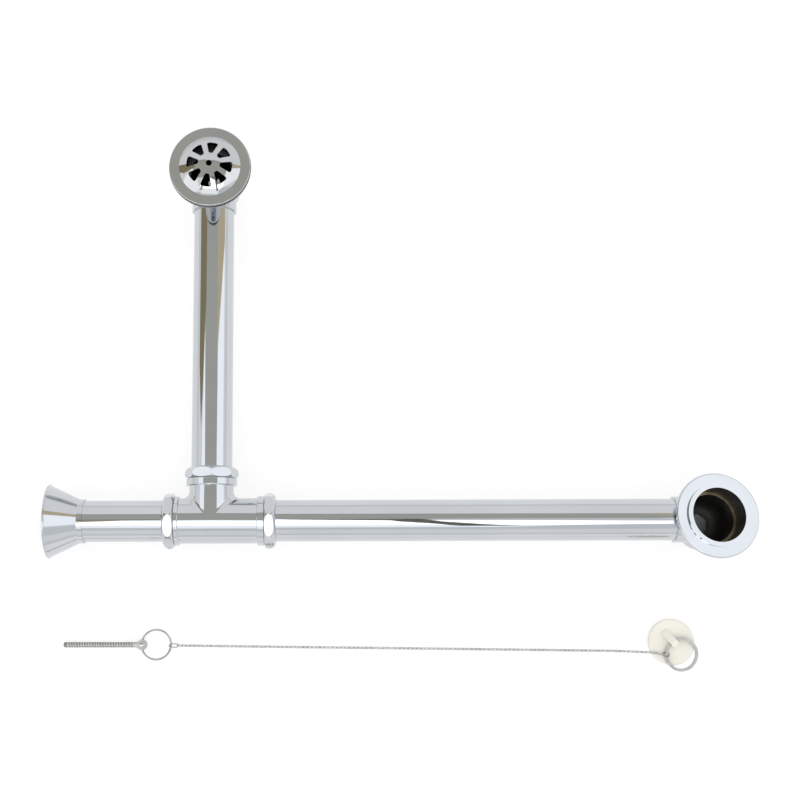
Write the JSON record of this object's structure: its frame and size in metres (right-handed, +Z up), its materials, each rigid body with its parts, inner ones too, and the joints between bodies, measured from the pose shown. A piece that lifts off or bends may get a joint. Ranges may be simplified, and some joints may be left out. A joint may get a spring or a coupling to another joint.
{
  "type": "bath waste and overflow",
  "caption": "Exposed chromed bath waste and overflow: slip-jointed tee, outlet with floor flange, waste elbow, overflow elbow with grille, and a rubber plug on a chain.",
  "frame": {"origin": "centre of the outlet tube's free end", "axes": "+X along the waste line from the outlet to the waste, +Y along the overflow pipe from the tee, +Z up out of the waste and the overflow, away from the surface it lies on"},
  "size_m": [0.6448, 0.4976, 0.095],
  "materials": {
    "chrome_cast": "polished chrome plate on cast brass",
    "chrome_nut": "polished chrome plate on turned brass",
    "chrome_tube": "polished chrome plate on drawn brass tube",
    "chrome_spun": "polished chrome plate on spun brass",
    "chrome_pressed": "polished chrome plate on pressed brass",
    "slip_washer": "moulded, matt black",
    "gasket": "moulded, ribbed rim",
    "kit_plating": "dull chrome plate",
    "kit_wire": "plated wire",
    "kit_chain": "dull chrome plate",
    "kit_steel": "spring steel",
    "plug": "off-white moulded rubber"
  },
  "bodies": {
    "tee_and_kit": {"tee": "chrome_cast", "outlet_nut": "chrome_nut", "waste_nut": "chrome_nut", "overflow_nut": "chrome_nut", "outlet_washer": "slip_washer", "chain_screw": "kit_plating", "screw_ring": "kit_wire", "chain_joiner": "kit_wire", "plug_chain": "kit_chain", "end_link": "kit_wire", "plug_ring": "kit_steel", "plug": "plug"},
    "outlet_arm": {"outlet_tube": "chrome_tube"},
    "bell": {"floor_flange": "chrome_spun"},
    "waste_seal": {"waste_washer": "slip_washer"},
    "waste_arm": {"waste_tube": "chrome_tube", "waste_elbow": "chrome_cast"},
    "overflow_seal": {"overflow_washer": "slip_washer"},
    "overflow_arm": {"overflow_tube": "chrome_tube", "overflow_elbow": "chrome_cast", "overflow_gasket": "gasket", "overflow_grille": "chrome_pressed"}
  },
  "joints": [
    {"name": "outlet_slip", "type": "slide", "parent": "tee_and_kit", "child": "outlet_arm", "axis": [-1, 0, 0], "range_m": [0, 0.006]},
    {"name": "bell_slide", "type": "slide", "parent": "outlet_arm", "child": "bell", "axis": [1, 0, 0], "range_m": [0, 0.071]},
    {"name": "waste_swivel", "type": "hinge", "parent": "tee_and_kit", "child": "waste_seal", "pos_m": [0.2, 0, 0], "axis": [1, 0, 0], "continuous": true},
    {"name": "waste_slip", "type": "slide", "parent": "waste_seal", "child": "waste_arm", "axis": [1, 0, 0], "range_m": [0, 0.015]},
    {"name": "overflow_swivel", "type": "hinge", "parent": "tee_and_kit", "child": "overflow_seal", "pos_m": [0.148, 0.04, 0], "axis": [0, 1, 0], "continuous": true},
    {"name": "overflow_slip", "type": "slide", "parent": "overflow_seal", "child": "overflow_arm", "axis": [0, 1, 0], "range_m": [0, 0.012]}
  ]
}
